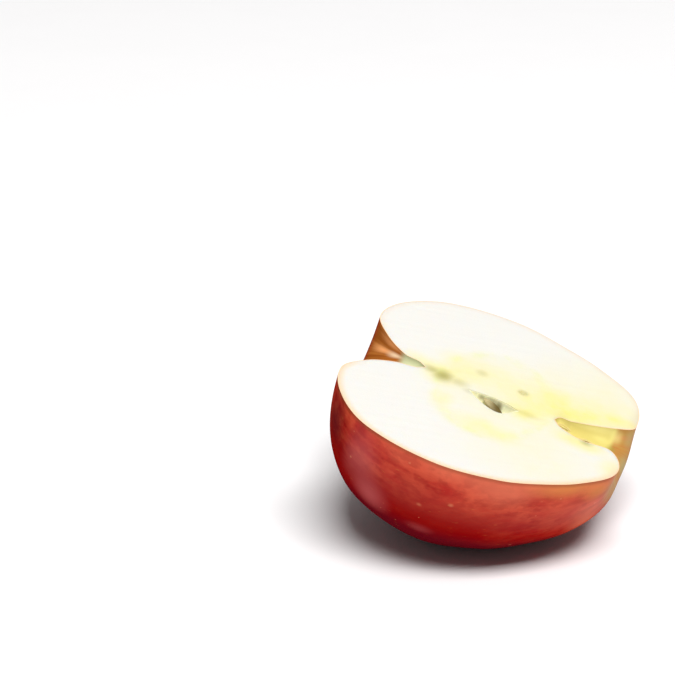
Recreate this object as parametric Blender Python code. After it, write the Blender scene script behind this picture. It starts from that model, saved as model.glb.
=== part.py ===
"""Half of a red apple, cut from stem to calyx, lying on its skin with the cut face up.

Metres, +Z up. The core lies over X, with the stem end towards -X and the calyx end towards +X.
The origin is the middle of the half's own box, at the level that the half lies on.
Until the half is laid down it is made upright in its own frame: the core along X, the cut face at Z 0,
the far cheek towards +Y and the near cheek towards -Y.
"""

import math

import bmesh
import bpy
from mathutils import Matrix, Vector
from mathutils.geometry import interpolate_bezier

# Driving dimensions
HEIGHT = 0.072  # from the stem shoulder to the calyx crown
WIDTH = 0.081  # across both cheeks at the widest place
CORE_SLOPE = math.radians(16.6)  # the calyx end lies lower than the stem end
FACE_LEAN = math.radians(3.4)  # the cut face tips towards the near cheek
FLAT_DEPTH = 0.0008  # skin pressed flat under the weight

# Each outline runs from the foot of the stem cavity over the shoulder, cheek and crown to the foot of the
# calyx tube: (place along the core / half the height, distance from the core / half the width)
FAR_CHEEK = (
    (-0.51, 0.00), (-0.57, 0.036), (-0.68, 0.052), (-0.87, 0.20), (-1.00, 0.41), (-0.91, 0.68),
    (-0.61, 0.91), (-0.11, 1.00), (0.31, 0.92), (0.60, 0.82), (0.90, 0.62), (0.99, 0.29),
    (0.88, 0.19), (0.57, 0.055), (0.49, 0.05), (0.46, 0.00),
)
NEAR_CHEEK = (
    (-0.51, 0.00), (-0.57, 0.045), (-0.71, 0.081), (-0.88, 0.19), (-1.00, 0.39), (-0.88, 0.69),
    (-0.61, 0.91), (-0.11, 1.00), (0.32, 0.91), (0.58, 0.77), (0.82, 0.58), (1.00, 0.32),
    (0.91, 0.10), (0.69, 0.11), (0.52, 0.06), (0.46, 0.00),
)
OUTLINE_STEPS = 4  # between two points of an outline
ROUND_STEPS = 44  # round the skin, from the far cheek to the near one
SHARP_ANGLE = math.radians(40)  # edges sharper than this are shaded as edges

# The crown round the calyx: it stands highest on the underside, towards the far cheek, in five lobes
CROWN_RISE = 0.0009
CROWN_POINT = 10.8  # where along the outline's points it stands highest
CROWN_SPREAD = 1.3  # in outline points
LOBE_COUNT = 5
LOBE_RISE = 0.0002

# The seed cell that the knife opened, on the near side of the core
CELL_STEM_END = -0.0061
CELL_CALYX_END = 0.0079
CELL_CORE_EDGE = (0.0022, 0.0014, 0.0016, 0.0028)  # distance from the core's middle line
CELL_OUTER_EDGE = (0.0022, 0.0060, 0.0073, 0.0028)
CELL_EDGE_PLACES = (0.0, 0.35, 0.72, 1.0)  # along the cell, for both edges
CELL_DEPTH = 0.0042
CELL_RISE = 0.0002  # its middle stands above the cut
CELL_REACH = 0.0025  # half its width where it is as deep as that
CELL_STEPS = 6  # between two places
CELL_SIDES = 20

# The seed in it
SEED_LENGTH = 0.0070
SEED_WIDTH = 0.0033
SEED_THICKNESS = 0.0020
SEED_PLACE = (0.0015, -0.0036, -0.0014)
SEED_YAW = math.radians(-19)  # along the cell's outer wall
SEED_PITCH = math.radians(14)  # its blunt end lies deeper
SEED_ROLL = math.radians(8)
SEED_BLUNTNESS = 0.75  # 1 is an even spindle, and less moves its bulk towards the calyx and fills its ends
SEED_NECK = 0.55  # how full it is at the pointed end
SEED_RINGS = 14
SEED_SIDES = 16

# The closed cell that the knife only grazed, on the far side
GRAZED_PLACE = (0.0064, 0.0065)
GRAZED_LENGTH = 0.0022
GRAZED_WIDTH = 0.0014
GRAZED_DEPTH = 0.0006
GRAZED_RISE = 0.0001  # its middle stands above the cut
GRAZED_SEGMENTS = 14
GRAZED_RINGS = 8

# Dried sepals round the mouth of the calyx tube
SEPAL_ANGLES = [math.radians(a) for a in (80, 152)]  # round the core from the far cheek
SEPAL_ROOT = (0.0206, 0.0048, 1.0)  # along the core, distance from it, share of the full width
SEPAL_MIDDLE = (0.0243, 0.0029, 0.8)
SEPAL_TIP = (0.0280, 0.0026, 0.12)
SEPAL_STEPS = 3  # between two of them
SEPAL_WIDTH = 0.0024
SEPAL_THICKNESS = 0.0009
SEPAL_CURL = 0.12  # how far its edges turn out, as a share of its width

SKIN = ("apple_skin", (0.42, 0.02, 0.025), 0.32)
FLESH = ("apple_flesh", (0.93, 0.86, 0.62), 0.45)
SEED = ("apple_seed", (0.36, 0.22, 0.09), 0.35)
SEPAL = ("dry_sepal", (0.17, 0.13, 0.06), 0.85)


def clear_scene():
    """Leaves no object of the opened file."""
    for obj in list(bpy.data.objects):
        bpy.data.objects.remove(obj, do_unlink=True)


def material(name, colour, roughness):
    """A plain finish: linear colour and roughness."""
    made = bpy.data.materials.new(name)
    made.use_nodes = True
    shader = made.node_tree.nodes["Principled BSDF"]
    shader.inputs["Base Color"].default_value = (*colour, 1.0)
    shader.inputs["Roughness"].default_value = roughness
    shader.inputs["Metallic"].default_value = 0.0
    return made


def new_object(name, bm, materials, parent=None):
    """Turns a finished bmesh into an object of the scene."""
    mesh = bpy.data.meshes.new(name)
    bmesh.ops.recalc_face_normals(bm, faces=bm.faces)
    bm.to_mesh(mesh)
    bm.free()
    for entry in materials:
        mesh.materials.append(entry)
    mesh.shade_smooth()
    mesh.set_sharp_from_angle(angle=SHARP_ANGLE)
    obj = bpy.data.objects.new(name, mesh)
    obj.parent = parent
    bpy.context.scene.collection.objects.link(obj)
    return obj


def smooth_line(points, steps):
    """Points along a curve through the given ones, with handles a third of the way to each neighbour."""
    points = [Vector(p) for p in points]
    ends = [points[0], *points, points[-1]]
    slopes = [(after - before).normalized() for before, after in zip(ends, ends[2:])]
    line = [points[0]]
    for a, b, slope_a, slope_b in zip(points, points[1:], slopes, slopes[1:]):
        reach = (b - a).length / 3
        curve = interpolate_bezier(a, a + slope_a * reach, b - slope_b * reach, b, steps + 1)
        line.extend(curve[1:])
    return line


def cheek_outline(shares):
    """One cheek's outline at its real size, in the plane of the cut."""
    return smooth_line([(x * HEIGHT / 2, r * WIDTH / 2, 0) for x, r in shares], OUTLINE_STEPS)


def crown_swell(step, angle):
    """How far the crown stands out; nothing at the two cheeks that the knife went through."""
    away = (step / OUTLINE_STEPS - CROWN_POINT) / CROWN_SPREAD
    under = CROWN_RISE * math.sin(angle) ** 2 * (1 + math.cos(angle))
    lobes = LOBE_RISE * (math.cos(angle) - math.cos(LOBE_COUNT * angle))
    return (under + lobes) * math.exp(-away * away)


def skin_line(far, near, angle):
    """The skin's points from the stem cavity to the calyx tube, at one angle round the core."""
    share = (1 + math.cos(angle)) / 2
    flat = [near_point.lerp(far_point, share) for far_point, near_point in zip(far, near)]
    line = []
    for step, point in enumerate(flat):
        along = flat[min(step + 1, len(flat) - 1)] - flat[max(step - 1, 0)]
        outward = Vector((-along.y, along.x, 0)).normalized()
        swollen = point + outward * crown_swell(step, angle)
        line.append(Vector((swollen.x, swollen.y * math.cos(angle), -swollen.y * math.sin(angle))))
    return line


def tube_faces(bm, rings):
    """Quads from ring to ring; a ring of one vertex is a point."""
    for first, second in zip(rings, rings[1:]):
        count = max(len(first), len(second))
        for i in range(count):
            j = (i + 1) % count
            ahead = [second[j % len(second)], second[i % len(second)]]
            corners = [first[i % len(first)], first[j % len(first)], *ahead]
            bm.faces.new(list(dict.fromkeys(corners)))


def half_body():
    """Skin and cut face as one closed mesh, pressed flat where it rests."""
    bm = bmesh.new()
    far, near = cheek_outline(FAR_CHEEK), cheek_outline(NEAR_CHEEK)
    stem_foot, calyx_foot = bm.verts.new(far[0]), bm.verts.new(far[-1])
    lines = []
    for step in range(ROUND_STEPS + 1):
        points = skin_line(far, near, math.pi * step / ROUND_STEPS)
        lines.append([stem_foot, *(bm.verts.new(p) for p in points[1:-1]), calyx_foot])
    for line, following in zip(lines, lines[1:]):
        for i in range(len(line) - 1):
            corners = [line[i], line[i + 1], following[i + 1], following[i]]
            bm.faces.new(list(dict.fromkeys(corners)))
    face = bm.faces.new([*lines[0], *reversed(lines[-1][1:-1])])
    face.material_index = 1
    bmesh.ops.triangulate(bm, faces=[face])
    press_flat(bm)
    return bm


def laid_down():
    """The turn from the apple's own frame to how the half lies."""
    return Matrix.Rotation(CORE_SLOPE, 4, "Y") @ Matrix.Rotation(FACE_LEAN, 4, "X")


def press_flat(bm):
    """Cuts off the lowest skin, as far as it gives under the weight, and closes the cut."""
    up = laid_down().transposed().to_3x3() @ Vector((0, 0, 1))
    lowest = min(bm.verts, key=lambda v: v.co.dot(up)).co.copy()
    everything = [*bm.verts, *bm.edges, *bm.faces]
    cut = bmesh.ops.bisect_plane(
        bm, geom=everything, plane_co=lowest + up * FLAT_DEPTH, plane_no=-up, clear_outer=True
    )
    rim = [e for e in cut["geom_cut"] if isinstance(e, bmesh.types.BMEdge)]
    bmesh.ops.edgeloop_fill(bm, edges=rim)


def ellipse(bm, middle, reach, depth, sides):
    """A ring of vertices across X, or one vertex where it has no width."""
    if reach == 0:
        return [bm.verts.new(middle)]
    turns = [math.tau * (side + 0.5) / sides for side in range(sides)]
    return [bm.verts.new(middle + Vector((0, reach * math.cos(t), depth * math.sin(t)))) for t in turns]


def cell_cutter():
    """The opened seed cell, straight along the core and bulging towards the cheek."""
    spots = zip(CELL_EDGE_PLACES, CELL_CORE_EDGE, CELL_OUTER_EDGE)
    bm = bmesh.new()
    rings = []
    for place, core_edge, outer_edge in smooth_line(spots, CELL_STEPS):
        x = CELL_STEM_END + place * (CELL_CALYX_END - CELL_STEM_END)
        middle, reach = -(core_edge + outer_edge) / 2, max(outer_edge - core_edge, 0) / 2
        depth = CELL_DEPTH * math.sqrt(reach / CELL_REACH)
        rings.append(ellipse(bm, Vector((x, middle, CELL_RISE)), reach, depth, CELL_SIDES))
    tube_faces(bm, rings)
    return bm


def pit_cutter():
    """The shallow hollow of the grazed cell."""
    bm = bmesh.new()
    size = Matrix.Diagonal((GRAZED_LENGTH / 2, GRAZED_WIDTH / 2, GRAZED_DEPTH, 1))
    place = Matrix.Translation((*GRAZED_PLACE, GRAZED_RISE))
    bmesh.ops.create_uvsphere(
        bm, u_segments=GRAZED_SEGMENTS, v_segments=GRAZED_RINGS, radius=1, matrix=place @ size
    )
    return bm


def sepal_piece(angle):
    """One dried sepal: a curled strip that runs from the wall of the basin to a point."""
    bm = bmesh.new()
    outward = Vector((0, math.cos(angle), -math.sin(angle)))
    sideways = Vector((0, math.sin(angle), math.cos(angle)))
    rings = []
    for along, away, share in smooth_line([SEPAL_ROOT, SEPAL_MIDDLE, SEPAL_TIP], SEPAL_STEPS):
        middle = Vector((along, 0, 0)) + outward * away
        edge = sideways * SEPAL_WIDTH / 2 * share
        curl = outward * SEPAL_WIDTH * SEPAL_CURL * share
        back = outward * SEPAL_THICKNESS / 2 * (1 + share) / 2
        spots = (curl + edge, back, curl - edge, curl - edge - back, -back, curl + edge - back)
        rings.append([bm.verts.new(middle + spot) for spot in spots])
    tube_faces(bm, rings)
    bm.faces.new(rings[0])
    bm.faces.new(rings[-1])
    return bm


def boolean(obj, name, bm, materials, operation):
    """Cuts a shape from obj, or joins it to obj, and removes the helper."""
    helper = new_object(name, bm, materials)
    helper.hide_render = True
    helper.display_type = "WIRE"
    modifier = obj.modifiers.new(name, "BOOLEAN")
    modifier.operation = operation
    modifier.object = helper
    modifier.solver = "EXACT"
    modifier.material_mode = "TRANSFER"
    graph = bpy.context.evaluated_depsgraph_get()
    made = bpy.data.meshes.new_from_object(obj.evaluated_get(graph))
    obj.modifiers.clear()
    obj.data = made
    bpy.data.objects.remove(helper, do_unlink=True)


def add_half(parent):
    """Flesh and skin, with the sepals grown on and the seed cells cut in."""
    skin, flesh, sepal = material(*SKIN), material(*FLESH), material(*SEPAL)
    half = new_object("apple_half", half_body(), [skin, flesh], parent)
    for number, angle in enumerate(SEPAL_ANGLES):
        boolean(half, f"sepal_{number}", sepal_piece(angle), [sepal], "UNION")
    boolean(half, "seed_cell", cell_cutter(), [flesh], "DIFFERENCE")
    boolean(half, "grazed_cell", pit_cutter(), [flesh], "DIFFERENCE")
    return half


def seed_shape():
    """A flattened drop, pointed towards the stem and blunt towards the calyx."""
    bm = bmesh.new()
    rings = []
    for step in range(SEED_RINGS + 1):
        place = step / SEED_RINGS
        middle = Vector((SEED_LENGTH * (place - 0.5), 0, 0))
        spindle = math.sin(math.pi * place ** SEED_BLUNTNESS) if 0 < step < SEED_RINGS else 0
        half = spindle ** SEED_BLUNTNESS * (SEED_NECK + (1 - SEED_NECK) * place) / 2
        rings.append(ellipse(bm, middle, SEED_WIDTH * half, SEED_THICKNESS * half, SEED_SIDES))
    tube_faces(bm, rings)
    return bm


def add_seed(parent):
    """The seed, clear of the walls of its cell."""
    seed = new_object("seed", seed_shape(), [material(*SEED)], parent)
    seed.rotation_euler = (SEED_ROLL, SEED_PITCH, SEED_YAW)
    seed.location = SEED_PLACE
    return seed


def lay_down(core, half):
    """Turns the half onto its skin, its box centred on the origin and its flat spot at Z 0."""
    core.rotation_euler = laid_down().to_euler()
    bpy.context.view_layer.update()
    points = [half.matrix_world @ v.co for v in half.data.vertices]
    low = Vector([min(p[i] for p in points) for i in range(3)])
    high = Vector([max(p[i] for p in points) for i in range(3)])
    middle = (low + high) / 2
    core.location = (-middle.x, -middle.y, -low.z)
    bpy.context.view_layer.update()


def main():
    clear_scene()
    core = bpy.data.objects.new("core", None)
    bpy.context.scene.collection.objects.link(core)
    half = add_half(core)
    add_seed(core)
    lay_down(core, half)


main()
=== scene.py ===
"""Looks of half a red apple, cut from stem to calyx and lying on its skin with the cut face up.

Laid out as a Blender add-on and run as a script. Metres, +Z up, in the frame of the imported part.
Each piece is shaped in the fruit's own frame and then laid down: the core along X with the calyx end
towards +X, the cut face at Z 0, the far cheek towards +Y and the near cheek towards -Y.
The shaders measure the fruit in that same frame, in millimetres.
"""

import math
import random

import bmesh
import bpy
import numpy as np
from bpy.props import FloatProperty, FloatVectorProperty, IntProperty, PointerProperty
from bpy.types import Operator, Panel, PropertyGroup
from mathutils import Color, Euler, Matrix, Vector, noise
from mathutils.geometry import delaunay_2d_cdt, interpolate_bezier
from mathutils.kdtree import KDTree


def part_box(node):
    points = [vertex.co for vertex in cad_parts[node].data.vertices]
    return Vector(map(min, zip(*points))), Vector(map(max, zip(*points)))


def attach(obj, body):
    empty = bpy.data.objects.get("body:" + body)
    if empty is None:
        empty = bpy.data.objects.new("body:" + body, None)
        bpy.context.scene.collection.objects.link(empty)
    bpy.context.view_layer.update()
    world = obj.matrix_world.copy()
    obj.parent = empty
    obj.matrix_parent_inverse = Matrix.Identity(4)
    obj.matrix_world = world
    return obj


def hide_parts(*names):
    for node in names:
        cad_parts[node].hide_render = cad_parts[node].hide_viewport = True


bl_info = {
    "name": "Cut apple half",
    "version": (1, 0, 0),
    "blender": (4, 5, 0),
    "location": "3D Viewport > Sidebar > Fruit",
    "description": "Makes half of a red apple with its skin, flesh, opened seed cell, seed and dried sepals",
    "category": "Add Mesh",
}

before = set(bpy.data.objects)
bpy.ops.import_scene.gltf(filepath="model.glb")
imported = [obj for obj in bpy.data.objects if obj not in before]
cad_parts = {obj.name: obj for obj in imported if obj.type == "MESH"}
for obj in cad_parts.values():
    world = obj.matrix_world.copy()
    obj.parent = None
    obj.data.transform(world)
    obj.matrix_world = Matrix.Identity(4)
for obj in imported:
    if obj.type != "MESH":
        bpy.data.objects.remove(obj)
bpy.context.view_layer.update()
HALF_LOW, HALF_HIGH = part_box("apple_half")
BODY = "root"
MM = 0.001

# The fruit's own sizes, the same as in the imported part
HEIGHT = 0.072  # from the stem shoulder to the calyx crown
WIDTH = 0.081  # across both cheeks at the widest place
CORE_SLOPE = math.radians(16.6)  # the calyx end lies lower than the stem end
FACE_LEAN = math.radians(3.4)  # the cut face tips towards the near cheek
CORE_PLACE = (0.00276, -0.00003, 0.03806)  # the middle of the core once the half is laid down

# Each outline runs from the foot of the stem cavity over the shoulder, cheek and crown to the foot of the
# calyx tube: (place along the core / half the height, distance from the core / half the width)
FAR_CHEEK = (
    (-0.51, 0.00), (-0.57, 0.036), (-0.68, 0.052), (-0.87, 0.20), (-1.00, 0.41), (-0.91, 0.68),
    (-0.61, 0.91), (-0.11, 1.00), (0.31, 0.92), (0.60, 0.82), (0.90, 0.62), (0.99, 0.29),
    (0.88, 0.19), (0.57, 0.055), (0.49, 0.05), (0.46, 0.00),
)
NEAR_CHEEK = (
    (-0.51, 0.00), (-0.57, 0.045), (-0.71, 0.081), (-0.88, 0.19), (-1.00, 0.39), (-0.88, 0.69),
    (-0.61, 0.91), (-0.11, 1.00), (0.32, 0.91), (0.58, 0.77), (0.82, 0.58), (1.00, 0.32),
    (0.91, 0.10), (0.69, 0.11), (0.52, 0.06), (0.46, 0.00),
)
OUTLINE_STEPS = 10  # between two points of an outline
ROUND_STEPS = 150  # round the skin, from the far cheek to the near one
SHARP_ANGLE = math.radians(50)  # edges sharper than this are shaded as edges
CROWN_RISE = 0.0009  # of the crown round the calyx, on the underside towards the far cheek
CROWN_POINT = 10.8  # where along the outline's points it stands highest
CROWN_SPREAD = 1.3  # in outline points
LOBE_COUNT = 5  # of the crown
LOBE_RISE = 0.0002
LUMP_SIZE = 0.011  # across a shallow swelling of the skin

# The opened seed cell, on the near side of the core
CELL_STEM_END = -0.0061
CELL_CALYX_END = 0.0079
CELL_CORE_EDGE = (0.0022, 0.0014, 0.0016, 0.0028)  # distance from the core's middle line
CELL_OUTER_EDGE = (0.0022, 0.0060, 0.0073, 0.0028)
CELL_EDGE_PLACES = (0.0, 0.35, 0.72, 1.0)  # along the cell, for both edges
CELL_CENTRE = Vector((0.0015, -0.0042, 0.0))
CELL_DEPTH = 0.0042
CELL_REACH = 0.0025  # half its width where it is as deep as that
CELL_STEPS = 14  # between two places
CELL_SIDES = 40
LINING_GAP = 0.00006  # between the lining and the flesh
LINING_RAGS = 0.0006  # how far the lining's torn edge drops below the cut
LINING_RAG_SIZE = 0.0011

# The seed
SEED_LENGTH = 0.0070
SEED_WIDTH = 0.0033
SEED_THICKNESS = 0.0020
SEED_PLACE = (0.0015, -0.0036, -0.0014)
SEED_TURN = tuple(math.radians(a) for a in (8, 14, -19))
SEED_BLUNTNESS = 0.75  # 1 is an even spindle; less moves its bulk towards the calyx
SEED_NECK = 0.55  # how full it is at the pointed end
SEED_RINGS = 46
SEED_SIDES = 48
SEED_FURROW = 0.00004  # depth of the fine furrows along it
SEED_FURROW_SIZE = (0.0022, 0.0003, 0.0003)

# The closed cell that the knife only grazed, on the far side
GRAZED_PLACE = Vector((0.0064, 0.0065))
GRAZED_LENGTH = 0.0022
GRAZED_WIDTH = 0.0014
GRAZED_DEPTH = 0.0006
GRAZED_RINGS = 5
GRAZED_SIDES = 22
GRAZED_FIRST_RING = 0.06  # as shares of the distance from its middle to its edge
GRAZED_RING_GAP = 0.1
GRAZED_CLEARANCE = 1.25  # the face's other points keep this far off

# The cut face
FACE_SPACING = 0.00052  # between its points
FACE_SEED = 11
FACE_JITTER = 0.35  # of the spacing
FACE_CLEARANCE = 0.5  # of the spacing, from an edge to the nearest point
RIM_BLEND = 0.0007  # the relief starts this far in from the skin
MARK_LENGTH = 0.030  # of the marks that the knife left
MARK_WIDTH = 0.0016
MARK_ANGLE = math.radians(24)  # between the marks and the core
MARK_GRAIN = (0.8, 2.0, 3)  # falloff, fineness and number of the layers of noise
CORE_LINE = (0.0145, 0.0200)  # half the length and width of the line of veins round the core
CORE_LINE_WIDTH = 0.15  # as a share of those
CORE_LINE_DEPTH = 1.0  # in metres, so the line runs straight down
CORE_LINE_DIP = 0.00005

# Dried sepals round the mouth of the calyx tube, and the stamens in it
SEPAL_ANGLES = tuple(math.radians(a) for a in (80, 152))  # round the core from the far cheek
SEPAL_ROOT = (0.0206, 0.0048, 1.0)  # along the core, distance from it, share of the full width
SEPAL_MIDDLE = (0.0243, 0.0029, 0.8)
SEPAL_TIP = (0.0280, 0.0026, 0.12)
SEPAL_STEPS = 12  # between two of them
SEPAL_SIDES = 10  # across the leaf
SEPAL_CURL = 0.12  # how far its edges turn out, as a share of its width
SEPAL_THINNING = 0.7  # how much thinner its edges are
SEPAL_WRINKLE = 0.00022
SEPAL_WRINKLE_SIZE = 0.0012
STAMEN_FOOT = (0.0172, 0.0008)  # along the core, distance from it
STAMEN_TIP = (0.0206, 0.0013)
STAMEN_TIP_SHIFT = (-0.0012, 0.0008)  # along the core, the least and the most
STAMEN_BEND = ((-0.0006, 0.0006), (-0.0008, 0.0))  # of its middle, across and up
STAMEN_BOW = 0.0004  # of its middle, towards the core
STAMEN_RADIUS = 0.00013
STAMEN_KNOB = (3, 1.7)  # points at its tip, and how much thicker they are
STAMEN_STEPS = 8
STAMEN_SIDES = 6
STAMEN_ANGLES = tuple(math.radians(a) for a in (65, 165))  # from the first to the last, round the core
STAMEN_SEED = 5

# The camera stands where the photograph was taken from
CAMERA_PLACE = (0.12136, -0.50490, 0.26207)
CAMERA_AZIMUTH = math.radians(17.511)
CAMERA_ELEVATION = math.radians(21.976)
CAMERA_LENS = 120.39  # millimetres, on a 36 millimetre sensor

# The floor, and each light's size and place
FLOOR_SIZE = 6.0
FLOOR_SQUARES = 8
FLOOR_SHADE = 0.985  # how bright its darker patches are
TOP_LIGHT = ((0.9, 0.9), (0.06, 0.06, 1.15))
FRONT_LIGHT = ((2.86, 1.47), (1.29, -2.13, 4.33))

# Shader nodes
NODE_LAYOUT = (8, 180, 220)  # in a row, and the spacing across and down
VECTOR_SOCKETS = ("Place", "Centre", "Size")  # the other sockets of the groups are numbers


def length(name, description, default):
    """A length in metres."""
    return FloatProperty(
        name=name, description=description, default=default, min=0.0, precision=5, unit="LENGTH"
    )


def tint(name, description, *screen):
    """A linear colour, with its default as a screen shows it, 0 to 255."""
    default = Color([value / 255 for value in screen]).from_srgb_to_scene_linear()
    return FloatVectorProperty(
        name=name, description=description, default=default, min=0.0, max=1.0, subtype="COLOR"
    )


def power(name, description, default):
    """A light's power in watts."""
    return FloatProperty(name=name, description=description, default=default, min=0.0, subtype="POWER")


class FruitSizes(PropertyGroup):
    """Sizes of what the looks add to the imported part."""

    skin_thickness: length("Skin thickness", "From the outside of the skin to the flesh", 0.0002)
    skin_lumps: length("Skin lumps", "Depth of the shallow hollows in the skin", 0.00028)
    knife_marks: length("Knife marks", "Depth of the marks that the knife left", 0.00005)
    lining_thickness: length("Lining thickness", "Of the parchment in the seed cell", 0.00014)
    sepal_width: length("Sepal width", "Of a dried sepal at its root", 0.0024)
    sepal_thickness: length("Sepal thickness", "Of a dried sepal at its root", 0.0007)
    stamen_count: IntProperty(
        name="Stamens", description="Dried stamens left in the calyx tube", default=5, min=0, max=30
    )


class FruitColours(PropertyGroup):
    """Colours of the fruit."""

    skin_red: tint("Skin", "The skin's main red", 180, 38, 28)
    # Deep red of the skin's streaks, and painted shade towards the underside.
    skin_deep_and_shade: tint("Skin, deep", "Deep red of the streaks and below", 142, 1, 3)
    # Painted shade: dark crimson on the stem end and on the underside of the skin.
    skin_painted_shade: tint("Skin, crimson", "Dark skin of the stem end", 84, 12, 26)
    skin_blush: tint("Skin, blush", "Orange red between the streaks", 212, 84, 56)
    # Painted light: lighter orange red where light falls on the skin just below the cut and at the calyx
    # end.
    skin_painted_light: tint("Skin, glow", "Orange red along the cut", 226, 122, 90)
    # Painted sheen: dusty pink standing in for a soft reflection towards the stem end.
    skin_painted_sheen: tint("Skin, sheen", "Dusty pink towards the stem end", 196, 98, 98)
    skin_gold: tint("Skin, gold", "Thin red near the calyx", 216, 138, 64)
    skin_edge: tint("Skin, edge", "Browned skin along the cut", 134, 70, 42)
    skin_russet: tint("Russet", "Brown skin in the stem cavity", 152, 82, 28)
    # Painted highlight: the light band on the stem cavity's wall.
    skin_painted_highlight: tint("Cavity light", "Light band in the stem cavity", 250, 172, 108)
    skin_green: tint("Cavity green", "Deepest in the stem cavity", 196, 198, 156)
    skin_basin: tint("Calyx basin", "Yellow wall of the basin", 212, 197, 112)
    # Pale straw of the basin, also used as painted light on its shaded upper wall and as a painted highlight
    # on the lip.
    skin_straw_and_light: tint("Calyx basin, straw", "Lightest skin of the basin", 244, 234, 152)
    skin_lip: tint("Calyx lip", "Brown skin of the crown, inside", 180, 136, 68)
    skin_olive: tint("Calyx lip, olive", "Dull skin at the foot of the crown", 172, 154, 104)
    skin_speck: tint("Lenticels", "Pale specks on the skin", 222, 140, 100)
    flesh_white: tint("Flesh", "The pale flesh of the cheeks", 227, 225, 219)
    flesh_yellow: tint("Flesh, yellow", "Round the core and the calyx", 236, 224, 112)
    flesh_rim: tint("Flesh, rim", "Cream flesh next to the skin", 242, 209, 170)
    flesh_green: tint("Veins", "Line of veins round the core", 222, 226, 140)
    flesh_brown: tint("Cell traces", "Closed cells and fibres in the cut", 150, 142, 62)
    lining_pale: tint("Lining", "Parchment of the seed cell", 255, 250, 208)
    # The lining's fine lines and stains, and painted shade deep in the cell beside the seed.
    lining_dark_and_shade: tint("Lining, deep", "Parchment beside the seed", 104, 92, 40)
    seed_tan: tint("Seed", "The seed's tan back", 204, 190, 142)
    # The seed's furrows, and painted shade at its blunt end; also the sepals' fibres.
    seed_brown_and_shade: tint("Seed, dark", "The seed's furrows and blunt end", 100, 84, 42)
    sepal_brown: tint("Sepals", "Dried sepals and stamens", 230, 206, 120)
    sepal_grey: tint("Sepals, down", "Grey down on the dried sepals", 206, 200, 142)


class StageSettings(PropertyGroup):
    """Floor and light."""

    floor: tint("Floor", "The plain pale floor", 248, 247, 247)
    sky: FloatProperty(
        name="Surrounding light", description="Strength of the even light", default=0.14, min=0.0
    )
    top: power("Top light", "Power of the wide light above", 1.5)
    front: power("Front light", "Power of the wide light in front", 307.0)


class Nodes:
    """Adds nodes to one tree. A value is a number, a colour, a vector or another node's output."""

    def __init__(self, tree):
        self.tree = tree

    def add(self, kind, values=None, **settings):
        """One node, with its inputs set by name or by number."""
        made = self.tree.nodes.new(kind)
        in_row, across, down = NODE_LAYOUT
        row, column = divmod(len(self.tree.nodes), in_row)
        made.location = (across * column, -down * row)
        for name, value in settings.items():
            setattr(made, name, value)
        for name, value in (values or {}).items():
            self.feed(made.inputs[name], value)
        return made

    def feed(self, socket, value):
        """Links an output to the socket, or sets the socket's own value."""
        if isinstance(value, bpy.types.NodeSocket):
            self.tree.links.new(value, socket)
        elif socket.type == "RGBA":
            socket.default_value = (*value, 1.0)
        else:
            socket.default_value = value

    def sum_of(self, operation, *terms):
        """Arithmetic on numbers."""
        return self.add("ShaderNodeMath", dict(enumerate(terms)), operation=operation).outputs[0]

    def product(self, first, *others):
        """Masks and shares multiplied together."""
        for other in others:
            first = self.sum_of("MULTIPLY", first, other)
        return first

    def length(self, vector):
        """A vector's length."""
        return self.add("ShaderNodeVectorMath", {0: vector}, operation="LENGTH").outputs["Value"]

    def vector(self, operation, *terms):
        """Arithmetic on vectors."""
        return self.add("ShaderNodeVectorMath", dict(enumerate(terms)), operation=operation).outputs[0]

    def rise(self, value, low, high):
        """0 below low and 1 above high, or the other way round where low is the larger."""
        values = {"Value": value, "From Min": low, "From Max": high}
        return self.add("ShaderNodeMapRange", values, interpolation_type="SMOOTHSTEP").outputs[0]

    def between(self, value, low, high):
        """Spreads 0 to 1 over another range."""
        return self.add("ShaderNodeMapRange", {"Value": value, "To Min": low, "To Max": high}).outputs[0]

    def blend(self, share, first, second):
        """A colour between two others."""
        mixed = self.add("ShaderNodeMix", {0: share, 6: first, 7: second}, data_type="RGBA")
        return mixed.outputs[2]

    def layers(self, colour, *layers):
        """Lays other colours over one, each given as (mask, share of it, colour)."""
        for mask, share, over in layers:
            colour = self.blend(self.product(mask, share), colour, over)
        return colour

    def group(self, name, **values):
        """A shared group's outputs."""
        made = self.add("ShaderNodeGroup", node_tree=shared_group(name))
        for key, value in values.items():
            self.feed(made.inputs[key.capitalize()], value)
        return made.outputs

    def mottle(self, place, size, low, high):
        """Uneven patches, as large as size, which is one number or three."""
        size = size if isinstance(size, tuple) else (size,) * 3
        return self.group("Mottle", place=place, size=size, low=low, high=high)

    def spot(self, place, centre, size):
        """A soft patch."""
        return self.group("Soft spot", place=place, centre=centre, size=size)["Mask"]

    def patches(self, place, rows, colours):
        """Soft patches as layers, from rows of (centre, size, share, colour)."""
        return [(self.spot(place, *row[:2]), row[2], getattr(colours, row[3])) for row in rows]

    def dress(self, surface, colour, roughness, height, depth, strength):
        """Feeds a surface's colour, roughness and bumps, whose depth is in metres."""
        self.feed(surface["Base Color"], colour)
        self.feed(surface["Roughness"], roughness)
        bump = self.add("ShaderNodeBump", {"Height": height, "Distance": depth, "Strength": strength})
        self.feed(surface["Normal"], bump.outputs[0])


def new_group(name, inputs, outputs):
    """An empty shader node group with its sockets."""
    tree = bpy.data.node_groups.new(name, "ShaderNodeTree")
    for way, sockets in (("INPUT", inputs), ("OUTPUT", outputs)):
        for socket in sockets:
            kind = "NodeSocketVector" if socket in VECTOR_SOCKETS else "NodeSocketFloat"
            tree.interface.new_socket(socket, in_out=way, socket_type=kind)
    nodes = Nodes(tree)
    return nodes, nodes.add("NodeGroupInput").outputs, nodes.add("NodeGroupOutput").inputs


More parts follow.
